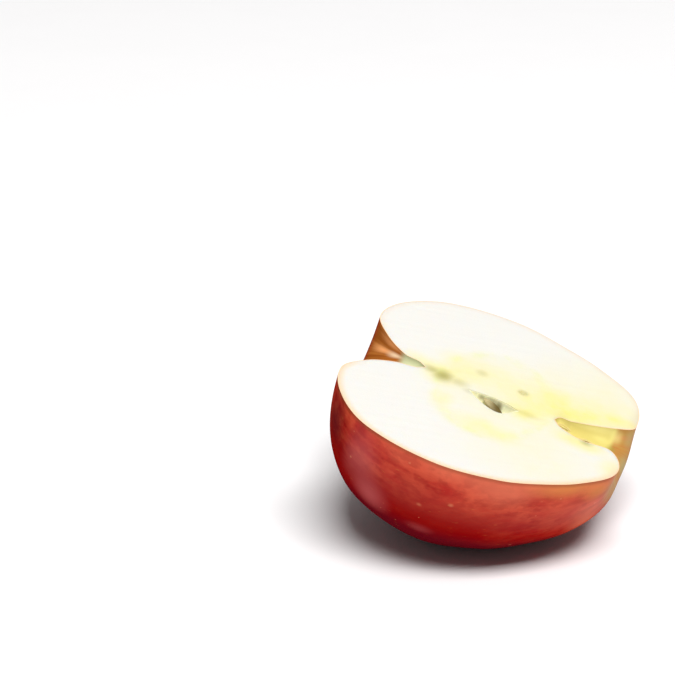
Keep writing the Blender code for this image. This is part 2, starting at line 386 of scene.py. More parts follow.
def fruit_place_group():
    """Where a point is in the fruit's own frame, in millimetres."""
    outputs = ("Place", "Along", "Away", "Round", "Depth")
    nodes, _, result = new_group("Fruit place", (), outputs)
    here = nodes.add("ShaderNodeTexCoord").outputs["Object"]
    values = {"Vector": here, "Location": CORE_PLACE, "Rotation": laid_down().to_euler()}
    local = nodes.add("ShaderNodeMapping", values, vector_type="TEXTURE").outputs[0]
    place = nodes.vector("DIVIDE", local, (MM, MM, MM))
    parts = nodes.add("ShaderNodeSeparateXYZ", {0: place}).outputs
    depth = nodes.product(parts["Z"], -1)
    across = nodes.add("ShaderNodeCombineXYZ", {"Y": parts["Y"], "Z": parts["Z"]}).outputs[0]
    round_core = nodes.sum_of("ARCTAN2", parts["Y"], depth)
    for name, value in zip(outputs, (place, parts["X"], nodes.length(across), round_core, depth)):
        nodes.feed(result[name], value)


def soft_spot_group():
    """A patch that is 1 in its middle and fades to 0 at the edge of an ellipsoid."""
    nodes, given, result = new_group("Soft spot", ("Place", "Centre", "Size"), ("Mask",))
    away = nodes.vector("DIVIDE", nodes.vector("SUBTRACT", given["Place"], given["Centre"]), given["Size"])
    nodes.feed(result["Mask"], nodes.rise(nodes.length(away), 1, 0))


def mottle_group():
    """Uneven patches of a given size; a size that is longer one way makes streaks."""
    nodes, given, result = new_group("Mottle", ("Place", "Size", "Low", "High"), ("Mask", "Height"))
    scaled = nodes.vector("DIVIDE", given["Place"], given["Size"])
    values = {"Vector": scaled, "Scale": 1, "Detail": 4, "Roughness": 0.55}
    cloud = nodes.add("ShaderNodeTexNoise", values).outputs[0]
    nodes.feed(result["Mask"], nodes.rise(cloud, given["Low"], given["High"]))
    nodes.feed(result["Height"], cloud)


def specks_group():
    """Small round dots, some cells of a loose grid holding one."""
    nodes, given, result = new_group("Specks", ("Place", "Spacing", "Radius", "Share"), ("Mask",))
    scale = nodes.sum_of("DIVIDE", 1, given["Spacing"])
    cells = nodes.add("ShaderNodeTexVoronoi", {"Vector": given["Place"], "Scale": scale}).outputs
    reach = nodes.product(given["Radius"], scale)
    chance = nodes.add("ShaderNodeSeparateColor", {0: cells["Color"]}).outputs
    own_reach = nodes.product(reach, nodes.between(chance["Green"], 0.5, 1.3))
    dot = nodes.rise(cells["Distance"], own_reach, nodes.product(own_reach, 0.4))
    chosen = nodes.sum_of("LESS_THAN", chance["Red"], given["Share"])
    nodes.feed(result["Mask"], nodes.product(dot, chosen))


GROUPS = {
    "Fruit place": fruit_place_group,
    "Soft spot": soft_spot_group,
    "Mottle": mottle_group,
    "Specks": specks_group,
}


def shared_group(name):
    """A group by name, made the first time that it is wanted."""
    if name not in bpy.data.node_groups:
        GROUPS[name]()
    return bpy.data.node_groups[name]


def new_material(name, **constants):
    """A material with its nodes, its Principled shader's sockets and where on the fruit a point is.

    The shader's plain settings are given by socket name.
    """
    made = bpy.data.materials.new(name)
    made.use_nodes = True
    made.node_tree.nodes.clear()
    nodes = Nodes(made.node_tree)
    values = {key.replace("_", " "): value for key, value in constants.items()}
    shader = nodes.add("ShaderNodeBsdfPrincipled", values)
    nodes.add("ShaderNodeOutputMaterial", {"Surface": shader.outputs[0]})
    return made, nodes, shader.inputs, nodes.group("Fruit place")


def skin_material(colours):
    """Waxy red skin, blotched along the core, russet in the stem cavity and yellow in the basin; with
    painted light along its top, painted shade towards its underside and stem end, and painted highlights and
    sheen.
    """
    made, nodes, surface, here = new_material(
        "apple_skin", Specular_IOR_Level=0, Coat_Roughness=0.3, Coat_IOR=1.35
    )
    place, along, away, depth = here["Place"], here["Along"], here["Away"], here["Depth"]
    meridian = nodes.add("ShaderNodeCombineXYZ", {"X": along, "Y": here["Round"]}).outputs[0]
    # Painted light: a lighter band along the top of the skin, below the cut.
    glow = nodes.product(nodes.rise(depth, 6, 0.5), nodes.rise(along, -14, 2))
    less_at_calyx = nodes.between(nodes.rise(along, 6, 28), 0.92, 0.5)
    specks = nodes.group("Specks", place=place, spacing=3.6, radius=0.42, share=0.55)["Mask"]

    # The stem cavity and the green socket in it
    near_core = nodes.rise(away, 17, 11)
    at_stem = nodes.rise(along, 0, -2)
    socket = nodes.product(nodes.rise(along, -26.4, -23.8), nodes.rise(away, 8, 6))
    rays = nodes.mottle(meridian, (14, 0.1, 1), 0.35, 0.65)["Mask"]
    # Painted highlight: a light band along the stem cavity's wall, laid over the russet.
    streaks = nodes.patches(meridian, CAVITY_HIGHLIGHTS, colours)
    russet = nodes.layers(colours.skin_russet, (rays, 0.4, colours.skin_gold), *streaks)

    # The calyx's lip and basin
    at_calyx = nodes.rise(along, 8, 10)
    lip = nodes.product(near_core, nodes.between(rays, 0.7, 1))
    basin = nodes.product(nodes.rise(along, 32.4, 31), nodes.rise(away, 10, 8))
    # Painted light: the basin's upper wall is lightened where it lies in shade.
    straw = nodes.layers(colours.skin_basin, *nodes.patches(meridian, BASIN_LIGHT_STREAKS, colours))

    # All layers, from the lowest up
    browned = nodes.product(nodes.rise(depth, 1.4, 0.2), nodes.rise(away, 12, 18))
    colour = nodes.layers(
        colours.skin_red,
        (nodes.mottle(place, (9, 6, 6), 0.38, 0.62)["Mask"], 0.68, colours.skin_blush),
        (nodes.mottle(meridian, (13, 0.12, 1), 0.38, 0.62)["Mask"], 0.36, colours.skin_deep_and_shade),
        (nodes.mottle(place, (4, 2.6, 2.6), 0.46, 0.6)["Mask"], 0.42, colours.skin_deep_and_shade),
        (nodes.mottle(meridian, (4.2, 0.055, 1), 0.42, 0.66)["Mask"], 0.28, colours.skin_blush),
        (glow, 0.5, colours.skin_painted_light),
        *nodes.patches(place, SKIN_PATCHES, colours),
        # Painted shade: the skin turns deeper red and then dark crimson towards its underside, less so
        # towards the calyx.
        (nodes.rise(depth, 6, 19), less_at_calyx, colours.skin_deep_and_shade),
        (nodes.rise(depth, 18, 28), 0.8, colours.skin_painted_shade),
        *nodes.patches(place, UNDER_PATCHES, colours),
        (nodes.mottle(meridian, (3.4, 0.02, 1), 0.64, 0.74)["Mask"], 0.22, colours.skin_gold),
        (specks, 0.45, colours.skin_speck),
        (at_stem, near_core, russet),
        (at_stem, socket, colours.skin_green),
        (at_calyx, lip, colours.skin_lip),
        (at_calyx, basin, straw),
        *nodes.patches(place, BASIN_PATCHES, colours),
        (browned, 0.55, colours.skin_edge),
        (nodes.rise(depth, 0.05, 0.01), 1, colours.flesh_rim),
    )

    waxed = nodes.product(nodes.rise(depth, 22, 8), nodes.rise(along, -28, -23), 0.35)
    nodes.feed(surface["Coat Weight"], waxed)
    roughness = nodes.between(nodes.mottle(place, 5, 0.3, 0.7)["Mask"], 0.34, 0.46)
    pores = nodes.mottle(place, 0.7, 0.3, 0.7)["Height"]
    height = nodes.sum_of("ADD", nodes.product(pores, 0.5), nodes.product(specks, 0.35))
    nodes.dress(surface, colour, roughness, height, depth=0.00006, strength=0.8)
    return made


# Patches of the skin in millimetres: (centre, size, share, colour); beside real blush and gold they hold
# painted shade at the stem end, painted light along the top and painted sheen
SKIN_PATCHES = (
    ((-32, -28, -11), (9, 12, 18), 0.9, "skin_painted_shade"),
    ((-13, -40, -2), (8, 7, 4), 0.22, "skin_painted_light"),
    ((-20.5, -34, -12), (7, 9, 17), 0.5, "skin_painted_sheen"),
    ((4, -33, -13), (22, 12, 9), 0.45, "skin_blush"),
    ((15, -36, -4), (18, 9, 6), 0.5, "skin_painted_light"),
    ((28, -24, -8), (12, 12, 9), 0.5, "skin_blush"),
    ((33, -14, -12), (8, 10, 10), 0.5, "skin_painted_light"),
    ((27, -26, -1), (16, 14, 5), 0.62, "skin_gold"),
    ((34, -17.5, -3.5), (7, 9, 5), 0.6, "skin_gold"),
    ((-33, 15, -8), (8, 7, 9), 0.8, "skin_painted_shade"),
)
# Laid over the underside's painted shade: painted sheen and a painted glint towards the stem end, painted
# light at the calyx end, and two lenticels
UNDER_PATCHES = (
    ((-17, -32.5, -19.5), (7.5, 8, 10), 0.55, "skin_painted_sheen"),
    ((-3, -33, -24), (5, 4, 3.5), 0.22, "skin_painted_sheen"),
    ((33, -11, -17), (7, 9, 8), 0.55, "skin_painted_light"),
    ((-4.2, -38, -14.1), (1, 1, 0.9), 0.34, "skin_speck"),
    ((3.1, -38, -10.8), (1, 1, 0.9), 0.46, "skin_speck"),
)
BASIN_PATCHES = (
    ((18.5, 1, -0.5), (3.6, 4.5, 4), 0.35, "skin_straw_and_light"),
    # Painted highlight on the calyx lip.
    ((32.2, 7.2, -2.2), (2.6, 2.8, 2.6), 0.45, "skin_straw_and_light"),
    ((32, 4.4, -4.6), (1.9, 2.2, 2.4), 0.7, "flesh_brown"),
    ((35.2, 9.8, -2.6), (2.4, 3, 4), 0.6, "skin_olive"),
    ((36.2, 6, -8.6), (3.8, 4.4, 4.2), 0.85, "skin_olive"),
)
# Painted highlights along the stem cavity's wall, and painted light on the basin's upper wall: (millimetres
# along and radians round, size, share, colour)
CAVITY_HIGHLIGHTS = (
    ((-30.8, 1.05, 0), (5, 0.17, 1), 1, "skin_painted_highlight"),
    ((-27, 1, 0), (3.6, 0.26, 1), 1, "flesh_rim"),
    ((-28.6, 1.44, 0), (6, 0.22, 1), 0.65, "skin_painted_highlight"),
)
BASIN_LIGHT_STREAKS = (
    ((26, 1.5, 0), (9, 0.4, 1), 0.6, "skin_straw_and_light"),
    ((28.8, 1.02, 0), (4, 0.26, 1), 0.3, "skin_straw_and_light"),
)


def flesh_material(colours):
    """Moist pale flesh, yellow round the core, with a broken green line of veins."""
    made, nodes, surface, here = new_material(
        "apple_flesh", Subsurface_Weight=0.35, Subsurface_Radius=(1, 0.75, 0.45),
        Subsurface_Scale=0.0022, Specular_IOR_Level=0.45,
    )
    place = here["Place"]
    under_skin = nodes.add("ShaderNodeAttribute", attribute_name="under_skin").outputs["Fac"]

    pale = 1
    for centre, size, share in FLESH_YELLOWS:
        spot = nodes.spot(place, (*centre, 0), (*size, YELLOW_DEPTH))
        pale = nodes.product(pale, nodes.between(spot, 1, 1 - share))
    yellow = nodes.sum_of("SUBTRACT", 1, pale)
    clouds = nodes.between(nodes.mottle(place, 7, 0.3, 0.7)["Mask"], 0.75, 1.08)
    rim = nodes.product(nodes.rise(under_skin, 2.2, -0.2), nodes.rise(here["Away"], 8, 14))
    less_at_far_cheek = nodes.between(nodes.rise(here["Round"], 0.5, -0.5), 0.32, 0.95)

    scaled = nodes.vector("DIVIDE", place, [reach / MM for reach in (*CORE_LINE, CORE_LINE_DEPTH)])
    off_line = nodes.sum_of("ABSOLUTE", nodes.sum_of("SUBTRACT", nodes.length(scaled), 1))
    broken = nodes.mottle(place, 6, 0.42, 0.66)["Mask"]
    traces = 0
    for centre, size, share in FLESH_TRACES:
        spot = nodes.spot(place, (*centre, 0), (*size, TRACE_DEPTH))
        traces = nodes.sum_of("MAXIMUM", traces, nodes.product(spot, share))
    colour = nodes.layers(
        colours.flesh_white,
        (yellow, clouds, colours.flesh_yellow),
        (rim, less_at_far_cheek, colours.flesh_rim),
        (nodes.rise(off_line, CORE_LINE_WIDTH, 0), nodes.between(broken, 0.05, 0.4), colours.flesh_green),
        (traces, 1, colours.flesh_brown),
    )

    grain = nodes.mottle(place, 0.5, 0.3, 0.7)
    glints = nodes.group("Specks", place=place, spacing=0.8, radius=0.22, share=0.4)["Mask"]
    moist = nodes.sum_of("SUBTRACT", nodes.between(grain["Mask"], 0.4, 0.62), nodes.product(glints, 0.2))
    nodes.dress(surface, colour, moist, grain["Height"], depth=0.00005, strength=0.7)
    return made


# Patches of the cut face in millimetres: (centre, size, share), and how deep they reach
YELLOW_DEPTH = 50
TRACE_DEPTH = 3
FLESH_YELLOWS = (
    ((4, 1), (30, 26), 0.33), ((-8, 8), (13, 9), 0.46), ((0, 13), (16, 9), 0.15), ((-13, 0), (9, 8), 0.65),
    ((-21, 2.5), (8, 5), 0.45), ((12, 4), (17, 12), 0.5), ((9, -3), (8, 5), 0.5),
    ((19, 4.5), (10, 6.5), 0.8), ((17, 11), (17, 8), 0.38), ((26, 8), (10, 6), 0.62),
    ((32.5, 11), (8, 5), 0.7), ((29, 15), (10, 8), 0.3), ((1, -17), (14, 6.5), 0.5),
    ((-10.5, -11.5), (4.5, 7), 0.4), ((25, -6), (10, 5), 0.75), ((35, -12), (6, 8), 0.45),
    ((24, 20), (28, 24), 0.28), ((18, -22), (30, 22), 0.2),
)
FLESH_TRACES = (
    ((-16.4, 0.2), (4.6, 2.8), 0.5), ((-13.3, -0.6), (4.2, 4.4), 0.74), ((-9, -0.8), (4.2, 3), 0.3),
    ((-5.2, -3), (3.4, 1.8), 0.28), ((-5.2, 8), (2.6, 2.4), 0.28), ((9.6, -2.8), (5, 2.2), 0.22),
    ((6.4, 6.6), (2.2, 2), 0.6), ((17.8, 2.8), (3, 4), 0.12), ((26.1, -5), (2.4, 2), 0.5),
    ((35, 15.5), (3, 7), 0.1),
)


def lining_material(colours):
    """Smooth parchment with fine lines across it, with painted shade deep in the cell beside the seed and
    painted shadows of the seed.
    """
    made, nodes, surface, here = new_material(
        "cell_lining", Coat_Weight=0.15, Coat_Roughness=0.35, Subsurface_Weight=0.1, Subsurface_Scale=0.001
    )
    place, along, depth = here["Place"], here["Along"], here["Depth"]
    lines = nodes.mottle(place, (0.35, 2.4, 2.4), 0.35, 0.65)
    stains = nodes.mottle(place, 2.2, 0.35, 0.65)["Mask"]
    by_seed = nodes.product(nodes.rise(along, 4.2, 2.6), nodes.rise(along, -1, 1.6))
    # Painted shade: darker deeper in the cell beside the seed.
    deep = nodes.product(nodes.rise(depth, 0.4, 3), by_seed, 0.85)
    dark = nodes.sum_of("ADD", deep, nodes.product(stains, 0.06))
    colour = nodes.layers(
        colours.lining_pale,
        (dark, 1, colours.lining_dark_and_shade),
        *nodes.patches(place, LINING_SHADOWS, colours),
        (lines["Mask"], 0.1, colours.lining_dark_and_shade),
    )
    roughness = nodes.between(lines["Mask"], 0.28, 0.42)
    nodes.dress(surface, colour, roughness, lines["Height"], depth=0.00005, strength=0.8)
    return made


# Painted shadows of the seed on the lining, in millimetres: (centre, size, share, colour)
LINING_SHADOWS = (
    ((-2.2, -1.7, -1), (1.5, 1.6, 1.2), 0.62, "lining_dark_and_shade"),
    ((0.8, -1.7, -1), (3.4, 1.8, 1.8), 0.45, "lining_dark_and_shade"),
    ((2.6, -2.2, -1.6), (1.3, 2.2, 1.8), 0.8, "lining_dark_and_shade"),
)


def seed_material(colours):
    """A tan seed coat with darker furrows, and painted shade that darkens it towards its blunt end."""
    made, nodes, surface, here = new_material("apple_seed", Specular_IOR_Level=0.15)
    furrows = nodes.mottle(here["Place"], (2.4, 0.22, 0.3), 0.35, 0.68)
    stains = nodes.mottle(here["Place"], 1.2, 0.35, 0.65)["Mask"]
    # Painted shade: the seed darkens towards its blunt end.
    shaded_end = nodes.rise(here["Along"], -1.4, 2.8)
    masks = ((furrows["Mask"], 0.35), (stains, 0.2), (shaded_end, 1))
    colour = nodes.layers(colours.seed_tan, *((*mask, colours.seed_brown_and_shade) for mask in masks))
    roughness = nodes.between(furrows["Mask"], 0.45, 0.6)
    nodes.dress(surface, colour, roughness, furrows["Height"], depth=0.00004, strength=0.8)
    return made


def sepal_material(colours):
    """Dry straw-brown leaf with grey down."""
    made, nodes, surface, here = new_material("dry_sepal", Sheen_Weight=0.3, Sheen_Roughness=0.5)
    fibres = nodes.mottle(here["Place"], (1.6, 0.25, 0.25), 0.35, 0.65)
    down = nodes.mottle(here["Place"], 0.8, 0.42, 0.62)["Mask"]
    colour = nodes.layers(
        colours.sepal_brown, (down, 0.5, colours.sepal_grey), (fibres["Mask"], 0.14, colours.seed_brown_and_shade)
    )
    roughness = nodes.between(fibres["Mask"], 0.7, 0.92)
    nodes.dress(surface, colour, roughness, fibres["Height"], depth=0.0001, strength=0.9)
    return made


def floor_material(colour):
    """A plain pale floor with hardly any grain."""
    made, nodes, surface, here = new_material("pale_floor", Specular_IOR_Level=0.2)
    shade = nodes.mottle(here["Place"], 60, 0.3, 0.7)["Mask"]
    duller = tuple(value * FLOOR_SHADE for value in colour)
    nodes.feed(surface["Base Color"], nodes.blend(shade, tuple(colour), duller))
    nodes.feed(surface["Roughness"], nodes.between(shade, 0.72, 0.8))
    return made


def laid_down():
    """From the fruit's own frame to where the half lies."""
    turn = Matrix.Rotation(CORE_SLOPE, 4, "Y") @ Matrix.Rotation(FACE_LEAN, 4, "X")
    return Matrix.Translation(CORE_PLACE) @ turn


def smooth_line(points, steps):
    """Points along a curve through the given ones, with handles a third of the way to each neighbour."""
    points = [Vector(p) for p in points]
    ends = [points[0], *points, points[-1]]
    slopes = [(after - before).normalized() for before, after in zip(ends, ends[2:])]
    line = [points[0]]
    for a, b, slope_a, slope_b in zip(points, points[1:], slopes, slopes[1:]):
        reach = (b - a).length / 3
        curve = interpolate_bezier(a, a + slope_a * reach, b - slope_b * reach, b, steps + 1)
        line.extend(curve[1:])
    return line


def outward_at(angle):
    """Away from the core, at an angle round it from the far cheek."""
    return Vector((0, math.cos(angle), -math.sin(angle)))


def cheek_outline(shares):
    """One cheek's outline at its real size, in the plane of the cut."""
    return smooth_line([(x * HEIGHT / 2, r * WIDTH / 2, 0) for x, r in shares], OUTLINE_STEPS)


def crown_swell(step, angle):
    """How far the crown stands out; nothing at the two cheeks that the knife went through."""
    away = (step / OUTLINE_STEPS - CROWN_POINT) / CROWN_SPREAD
    under = CROWN_RISE * math.sin(angle) ** 2 * (1 + math.cos(angle))
    lobes = LOBE_RISE * (math.cos(angle) - math.cos(LOBE_COUNT * angle))
    return (under + lobes) * math.exp(-away * away)


def skin_line(far, near, angle, inset, lumps):
    """Points from the stem cavity to the calyx tube at one angle round the core, inset from the skin."""
    share = (1 + math.cos(angle)) / 2
    turn = Matrix.Rotation(-angle, 3, "X")
    flat = [near_point.lerp(far_point, share) for far_point, near_point in zip(far, near)]
    line = []
    for step, point in enumerate(flat):
        along = flat[min(step + 1, len(flat) - 1)] - flat[max(step - 1, 0)]
        outward = Vector((-along.y, along.x, 0)).normalized()
        hollow = (1 + noise.noise(turn @ point / LUMP_SIZE)) / 2 * lumps * math.sin(angle)
        line.append(turn @ (point + outward * (crown_swell(step, angle) - hollow - inset)))
    line[0] = Vector((far[0].x + inset, 0, 0))
    line[-1] = Vector((far[-1].x - inset, 0, 0))
    return line


def skin_lines(inset, lumps):
    """The half's surface as lines from stem to calyx, from the far cheek round to the near one."""
    far, near = cheek_outline(FAR_CHEEK), cheek_outline(NEAR_CHEEK)
    angles = [math.pi * step / ROUND_STEPS for step in range(ROUND_STEPS + 1)]
    return [skin_line(far, near, angle, inset, lumps) for angle in angles]


def cell_lines(inset, rags):
    """The opened cell's wall as lines from its stem end to its calyx end; rags lower its edges."""
    rows = []
    spots = zip(CELL_EDGE_PLACES, CELL_CORE_EDGE, CELL_OUTER_EDGE)
    for place, core_edge, outer_edge in smooth_line(spots, CELL_STEPS):
        x = CELL_STEM_END + place * (CELL_CALYX_END - CELL_STEM_END)
        middle, reach = -(core_edge + outer_edge) / 2, max(outer_edge - core_edge, 0) / 2
        depth = CELL_DEPTH * math.sqrt(reach / CELL_REACH)
        first, last = [
            rags * (1 + noise.noise(Vector((x, side, 0)) / LINING_RAG_SIZE)) / 2 / (depth + rags + MM)
            for side in (-1, 1)
        ]
        turns = [first + (math.pi - first - last) * side / CELL_SIDES for side in range(CELL_SIDES + 1)]
        rows.append([Vector((x, middle + reach * math.cos(t), -depth * math.sin(t))) for t in turns])
    share = 1 - inset / CELL_REACH
    return [[CELL_CENTRE + (point - CELL_CENTRE) * share for point in line] for line in zip(*rows)]


def new_face(bm, corners):
    """A face whose corners may coincide."""
    bm.faces.new(list(dict.fromkeys(corners)))


def sheet_of_lines(bm, lines):
    """Vertices and faces of a sheet whose lines all start in one point and end in another."""
    start, end = bm.verts.new(lines[0][0]), bm.verts.new(lines[0][-1])
    rows = [[start, *(bm.verts.new(p) for p in line[1:-1]), end] for line in lines]
    for line, following in zip(rows, rows[1:]):
        for i in range(len(line) - 1):
            new_face(bm, [line[i], line[i + 1], following[i + 1], following[i]])
    return rows


def shell_of_lines(bm, outer, inner):
    """Closes the space between two such sheets along their first and last lines."""
    for outside, inside in ((outer[0], inner[0]), (outer[-1], inner[-1])):
        for i in range(len(outside) - 1):
            bm.faces.new([outside[i], outside[i + 1], inside[i + 1], inside[i]])


def tube_of_rings(bm, rings):
    """A closed tube through rings of vertices; a ring of one vertex is a point."""
    for first, second in zip(rings, rings[1:]):
        count = max(len(first), len(second))
        for i in range(count):
            j = (i + 1) % count
            corners = [(first, i), (first, j), (second, j), (second, i)]
            new_face(bm, [ring[place % len(ring)] for ring, place in corners])
    for ring in (rings[0], rings[-1]):
        if len(ring) > 1:
            bm.faces.new(ring)


def press_flat(rows, lowest):
    """Lifts the vertices that would lie below the level of the resting spot."""
    place = laid_down()
    up = place.to_3x3().transposed() @ Vector((0, 0, 1))
    for vert in {vert for row in rows for vert in row}:
        missing = lowest - (place @ vert.co).z
        if missing > 0:
            vert.co += up * missing


def inside(points, loop):
    """Which points lie inside a loop; both are rows of two numbers."""
    found = np.zeros(len(points), bool)
    for (x0, y0), (x1, y1) in zip(loop, np.roll(loop, -1, axis=0)):
        if y0 != y1:
            crossing = x0 + (points[:, 1] - y0) * (x1 - x0) / (y1 - y0)
            found ^= ((y0 > points[:, 1]) != (y1 > points[:, 1])) & (points[:, 0] < crossing)
    return found


def nearest_to(places):
    """A search tree over places."""
    tree = KDTree(len(places))
    for i, place in enumerate(places):
        tree.insert(place, i)
    tree.balance()
    return tree


def grazed_share(x, y):
    """Distance from the middle of the grazed cell, 1 at its edge."""
    return math.hypot((x - GRAZED_PLACE.x) / GRAZED_LENGTH, (y - GRAZED_PLACE.y) / GRAZED_WIDTH) * 2


def face_points(rim, mouth):
    """Scattered points of the cut face, clear of the rim and of the seed cell's mouth."""
    rng = random.Random(FACE_SEED)
    points = []
    for x in np.arange(rim[:, 0].min(), rim[:, 0].max(), FACE_SPACING):
        for y in np.arange(rim[:, 1].min(), rim[:, 1].max(), FACE_SPACING):
            shift = [rng.uniform(-FACE_JITTER, FACE_JITTER) * FACE_SPACING for _ in range(2)]
            points.append((x + shift[0], y + shift[1]))
    points = [p for p in points if grazed_share(*p) > GRAZED_CLEARANCE]
    for ring in range(GRAZED_RINGS * 2 + 1):
        for side in range(GRAZED_SIDES):
            turn = math.tau * (side + ring % 2 / 2) / GRAZED_SIDES
            reach = Vector((GRAZED_LENGTH * math.cos(turn), GRAZED_WIDTH * math.sin(turn))) / 2
            points.append(tuple(GRAZED_PLACE + reach * (GRAZED_FIRST_RING + GRAZED_RING_GAP * ring)))
    points = np.array(points)
    points = points[inside(points, rim) & ~inside(points, mouth)]
    edges = nearest_to([(x, y, 0) for x, y in [*rim, *mouth]])
    return [(x, y) for x, y in points if edges.find((x, y, 0))[2] > FACE_SPACING * FACE_CLEARANCE]


def relief(x, y, in_from_edge, knife_marks):
    """How deep a point of the cut face lies: knife marks, the line of veins and the grazed cell."""
    along = (x * math.cos(MARK_ANGLE) + y * math.sin(MARK_ANGLE)) / MARK_LENGTH
    across = (y * math.cos(MARK_ANGLE) - x * math.sin(MARK_ANGLE)) / MARK_WIDTH
    marks = (1 + noise.fractal(Vector((along, across, 0)), *MARK_GRAIN)) / 2
    ring = math.hypot(x / CORE_LINE[0], y / CORE_LINE[1])
    dip = CORE_LINE_DIP * math.exp(-(((ring - 1) / CORE_LINE_WIDTH) ** 2))
    pit = GRAZED_DEPTH * math.sqrt(max(0, 1 - grazed_share(x, y) ** 2))
    return (knife_marks * marks + dip) * min(1, in_from_edge / RIM_BLEND) + pit


def fill_cut_face(bm, rim, mouth, knife_marks):
    """Triangles of the cut face between the skin's inner edge and the mouth of the seed cell."""
    loops = [np.array([v.co.xy for v in loop]) for loop in (rim, mouth)]
    verts = [*rim, *mouth]
    edges = nearest_to([v.co for v in verts])
    for x, y in face_points(*loops):
        depth = relief(x, y, edges.find((x, y, 0))[2], knife_marks)
        verts.append(bm.verts.new((x, y, -depth)))
    ends = [(i, (i + 1) % len(rim)) for i in range(len(rim))]
    ends += [(len(rim) + i, len(rim) + (i + 1) % len(mouth)) for i in range(len(mouth))]
    flat = [v.co.xy / MM for v in verts]
    _, _, faces, sources, _, _ = delaunay_2d_cdt(flat, ends, [], 1, 1e-5)
    corners = [[sources[i][0] for i in face] for face in faces]
    middles = np.array([sum((flat[i] for i in face), Vector((0, 0))) / 3 for face in corners]) * MM
    for face, in_mouth in zip(corners, inside(middles, loops[1])):
        if not in_mouth:
            bm.faces.new([verts[i] for i in face])


def note_rim_distance(bm, rim):
    """Keeps how far each vertex is from the skin, in millimetres, for the flesh's shader."""
    layer = bm.verts.layers.float["under_skin"]
    edge = nearest_to([v.co for v in rim])
    for vert in bm.verts:
        vert[layer] = edge.find(vert.co)[2] / MM


def new_object(name, data):
    """An object in the scene."""
    made = bpy.data.objects.new(name, data)
    bpy.context.scene.collection.objects.link(made)
    return made


def new_piece(name, bm, material, node):
    """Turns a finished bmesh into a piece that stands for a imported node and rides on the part."""
    mesh = bpy.data.meshes.new(name)
    bmesh.ops.recalc_face_normals(bm, faces=bm.faces)
    bm.to_mesh(mesh)
    bm.free()
    mesh.transform(laid_down())
    mesh.materials.append(material)
    mesh.shade_smooth()
    mesh.set_sharp_from_angle(angle=SHARP_ANGLE)
    obj = new_object(name, mesh)
    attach(obj, BODY)
    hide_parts(node)


class FRUIT_OT_add_skin(Operator):
    """Adds the skin as a thin shell, with its cut edge on show"""

    bl_idname = "fruit.add_skin"
    bl_label = "Add the skin"

    def execute(self, context):
        sizes = context.scene.fruit_sizes
        bm = bmesh.new()
        outer = sheet_of_lines(bm, skin_lines(0.0, sizes.skin_lumps))
        inner = sheet_of_lines(bm, skin_lines(sizes.skin_thickness, sizes.skin_lumps))
        shell_of_lines(bm, outer, inner)
        press_flat(outer, 0.0)
        press_flat(inner, sizes.skin_thickness)
        new_piece("skin", bm, skin_material(context.scene.fruit_colours), "apple_half")
        return {"FINISHED"}


class FRUIT_OT_add_flesh(Operator):
    """Adds the flesh with the relief of its cut face and the hollow of the seed cell"""

    bl_idname = "fruit.add_flesh"
    bl_label = "Add the flesh"

    def execute(self, context):
        sizes = context.scene.fruit_sizes
        bm = bmesh.new()
        bm.verts.layers.float.new("under_skin")
        body = sheet_of_lines(bm, skin_lines(sizes.skin_thickness, sizes.skin_lumps))
        press_flat(body, sizes.skin_thickness)
        cell = sheet_of_lines(bm, cell_lines(0.0, 0.0))
        rim = [*body[0], *reversed(body[-1][1:-1])]
        mouth = [*cell[0], *reversed(cell[-1][1:-1])]
        fill_cut_face(bm, rim, mouth, sizes.knife_marks)
        note_rim_distance(bm, rim)
        new_piece("flesh", bm, flesh_material(context.scene.fruit_colours), "apple_half")
        return {"FINISHED"}


class FRUIT_OT_add_lining(Operator):
    """Adds the parchment lining of the opened seed cell, torn along the cut"""

    bl_idname = "fruit.add_lining"
    bl_label = "Add the cell lining"

    def execute(self, context):
        thickness = context.scene.fruit_sizes.lining_thickness
        bm = bmesh.new()
        outer = sheet_of_lines(bm, cell_lines(LINING_GAP, LINING_RAGS))
        inner = sheet_of_lines(bm, cell_lines(LINING_GAP + thickness, LINING_RAGS))
        shell_of_lines(bm, outer, inner)
        material = lining_material(context.scene.fruit_colours)
        new_piece("cell_lining", bm, material, "apple_half")
        return {"FINISHED"}


class FRUIT_OT_add_seed(Operator):
    """Adds the seed that lies in the opened cell"""

    bl_idname = "fruit.add_seed"
    bl_label = "Add the seed"

    def execute(self, context):
        bm = bmesh.new()
        turn = Matrix.Translation(SEED_PLACE) @ Euler(SEED_TURN).to_matrix().to_4x4()
        rings = []
        for step in range(SEED_RINGS + 1):
            place = step / SEED_RINGS
            middle = Vector((SEED_LENGTH * (place - 0.5), 0, 0))
            spindle = math.sin(math.pi * place**SEED_BLUNTNESS) if 0 < step < SEED_RINGS else 0
            half = spindle**SEED_BLUNTNESS * (SEED_NECK + (1 - SEED_NECK) * place) / 2
            rings.append(self.ring(bm, turn, middle, half))
        tube_of_rings(bm, rings)
        new_piece("apple_seed", bm, seed_material(context.scene.fruit_colours), "seed")
        return {"FINISHED"}

    def ring(self, bm, turn, middle, half):
        """One ring of the seed, furrowed along its length; a point where it has no width."""
        if half == 0:
            return [bm.verts.new(turn @ middle)]
        ring = []
        for side in range(SEED_SIDES):
            angle = math.tau * side / SEED_SIDES
            reach = Vector((0, SEED_WIDTH * half * math.cos(angle), SEED_THICKNESS * half * math.sin(angle)))
            spot = middle + reach
            grain = Vector([a / b for a, b in zip(spot, SEED_FURROW_SIZE)])
            furrow = (1 + noise.noise(grain)) / 2 * SEED_FURROW
            ring.append(bm.verts.new(turn @ (spot - reach.normalized() * min(furrow, reach.length / 2))))
        return ring


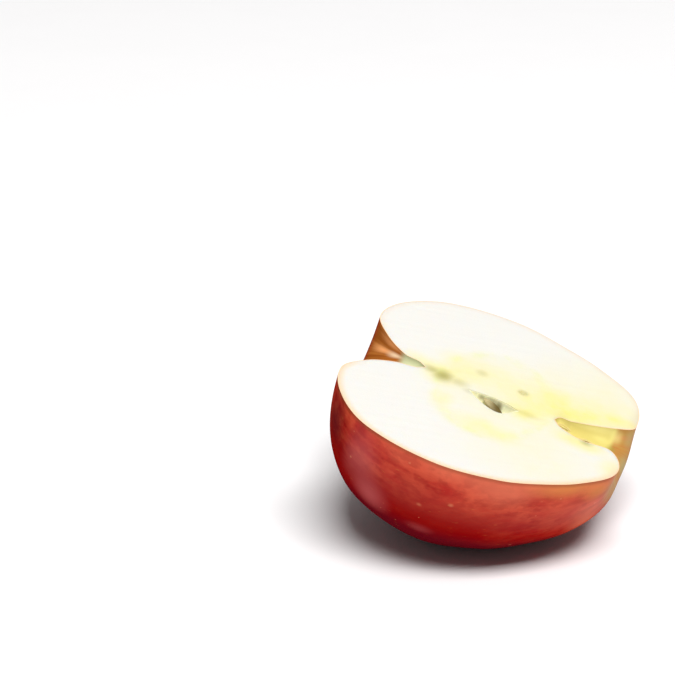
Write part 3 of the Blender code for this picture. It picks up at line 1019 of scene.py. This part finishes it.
class FRUIT_OT_add_sepals(Operator):
    """Adds the dried sepals and stamens at the calyx tube"""

    bl_idname = "fruit.add_sepals"
    bl_label = "Add the sepals and stamens"

    def execute(self, context):
        sizes = context.scene.fruit_sizes
        material = sepal_material(context.scene.fruit_colours)
        bm = bmesh.new()
        for angle in SEPAL_ANGLES:
            self.add_sepal(bm, angle, sizes)
        new_piece("dry_sepals", bm, material, "apple_half")
        bm = bmesh.new()
        rng = random.Random(STAMEN_SEED)
        for number in range(sizes.stamen_count):
            share = (number + 0.5) / sizes.stamen_count
            self.add_stamen(bm, STAMEN_ANGLES[0] + (STAMEN_ANGLES[1] - STAMEN_ANGLES[0]) * share, rng)
        new_piece("dry_stamens", bm, material, "apple_half")
        return {"FINISHED"}

    def add_sepal(self, bm, angle, sizes):
        """One sepal: a curled, wrinkled strip from the basin's wall to a point."""
        outward = outward_at(angle)
        sideways = Vector((0, math.sin(angle), math.cos(angle)))
        rings = []
        for along, away, share in smooth_line([SEPAL_ROOT, SEPAL_MIDDLE, SEPAL_TIP], SEPAL_STEPS):
            front, back = [], []
            for side in range(SEPAL_SIDES + 1):
                s = 2 * side / SEPAL_SIDES - 1
                spot = Vector((along, 0, 0)) + outward * away + sideways * s * share * sizes.sepal_width / 2
                curl = sizes.sepal_width * SEPAL_CURL * share * s * s
                wrinkle = SEPAL_WRINKLE * noise.noise(spot / SEPAL_WRINKLE_SIZE)
                half = sizes.sepal_thickness * (1 + share) * (1 - SEPAL_THINNING * s * s) / 4
                front.append(bm.verts.new(spot + outward * (curl + wrinkle + half)))
                back.append(bm.verts.new(spot + outward * (curl + wrinkle - half)))
            rings.append([*front, *reversed(back)])
        tube_of_rings(bm, rings)

    def add_stamen(self, bm, angle, rng):
        """One thin dry thread from the tube's wall to its mouth."""
        outward = outward_at(angle)
        foot = Vector((STAMEN_FOOT[0], 0, 0)) + outward * STAMEN_FOOT[1]
        tip_place = STAMEN_TIP[0] + rng.uniform(*STAMEN_TIP_SHIFT)
        tip = Vector((tip_place, 0, 0)) + outward * STAMEN_TIP[1]
        bend = Vector((0, *(rng.uniform(*limits) for limits in STAMEN_BEND)))
        spine = smooth_line([foot, (foot + tip) / 2 + bend - outward * STAMEN_BOW, tip], STAMEN_STEPS)
        knob_points, knob_share = STAMEN_KNOB
        turns = [math.tau * side / STAMEN_SIDES for side in range(STAMEN_SIDES)]
        rings = []
        for i, point in enumerate(spine):
            radius = STAMEN_RADIUS * (knob_share if i >= len(spine) - knob_points else 1)
            ring = [point + Vector((0, math.cos(t), math.sin(t))) * radius for t in turns]
            rings.append([bm.verts.new(spot) for spot in ring])
        tube_of_rings(bm, rings)


class FRUIT_OT_add_stage(Operator):
    """Adds the plain floor, the soft light and the camera"""

    bl_idname = "fruit.add_stage"
    bl_label = "Add the floor, light and camera"

    def execute(self, context):
        settings = context.scene.fruit_stage
        bm = bmesh.new()
        bmesh.ops.create_grid(bm, x_segments=FLOOR_SQUARES, y_segments=FLOOR_SQUARES, size=FLOOR_SIZE / 2)
        mesh = bpy.data.meshes.new("floor")
        bm.to_mesh(mesh)
        bm.free()
        mesh.materials.append(floor_material(settings.floor))
        floor = new_object("floor", mesh)
        self.add_world(context.scene, settings.sky)
        self.add_area_light("top_light", settings.top, *TOP_LIGHT)
        self.add_area_light("front_light", settings.front, *FRONT_LIGHT)
        self.add_camera(context.scene)
        context.scene.view_settings.view_transform = "Standard"
        return {"FINISHED"}

    def add_world(self, scene, strength):
        """Even white light from all round."""
        world = bpy.data.worlds.new("studio")
        world.use_nodes = True
        background = world.node_tree.nodes["Background"]
        background.inputs["Color"].default_value = (1.0, 1.0, 1.0, 1.0)
        background.inputs["Strength"].default_value = strength
        scene.world = world

    def add_area_light(self, name, power, size, place):
        """A rectangular light, level along its width, turned to the middle of the half."""
        data = bpy.data.lights.new(name, "AREA")
        data.energy = power
        data.shape = "RECTANGLE"
        data.size, data.size_y = size
        light = new_object(name, data)
        light.location = place
        target = (HALF_LOW + HALF_HIGH) / 2
        light.rotation_euler = (target - light.location).to_track_quat("-Z", "Y").to_euler()

    def add_camera(self, scene):
        """The camera at the photograph's viewing angle."""
        data = bpy.data.cameras.new("camera")
        data.lens = CAMERA_LENS
        camera = new_object("camera", data)
        camera.location = CAMERA_PLACE
        camera.rotation_euler = (math.pi / 2 - CAMERA_ELEVATION, 0, CAMERA_AZIMUTH)
        scene.camera = camera


class FRUIT_PT_panel(Panel):
    """The half's pieces, sizes and colours"""

    bl_label = "Cut apple half"
    bl_idname = "FRUIT_PT_panel"
    bl_space_type = "VIEW_3D"
    bl_region_type = "UI"
    bl_category = "Fruit"

    def draw(self, context):
        for operator in OPERATORS:
            self.layout.operator(operator.bl_idname)
        for name in SETTINGS:
            box = self.layout.box()
            settings = getattr(context.scene, name)
            for key in settings.bl_rna.properties.keys():
                if key not in ("rna_type", "name"):
                    box.prop(settings, key)


OPERATORS = (
    FRUIT_OT_add_skin,
    FRUIT_OT_add_flesh,
    FRUIT_OT_add_lining,
    FRUIT_OT_add_seed,
    FRUIT_OT_add_sepals,
    FRUIT_OT_add_stage,
)
SETTINGS = {"fruit_sizes": FruitSizes, "fruit_colours": FruitColours, "fruit_stage": StageSettings}
CLASSES = (*SETTINGS.values(), *OPERATORS, FRUIT_PT_panel)


def register():
    for cls in CLASSES:
        bpy.utils.register_class(cls)
    for name, cls in SETTINGS.items():
        setattr(bpy.types.Scene, name, PointerProperty(type=cls))


def unregister():
    for name in SETTINGS:
        delattr(bpy.types.Scene, name)
    for cls in reversed(CLASSES):
        bpy.utils.unregister_class(cls)


def main():
    """Makes every piece and the stage."""
    register()
    for operator in OPERATORS:
        getattr(bpy.ops.fruit, operator.bl_idname.split(".")[1])()


if __name__ == "__main__":
    main()
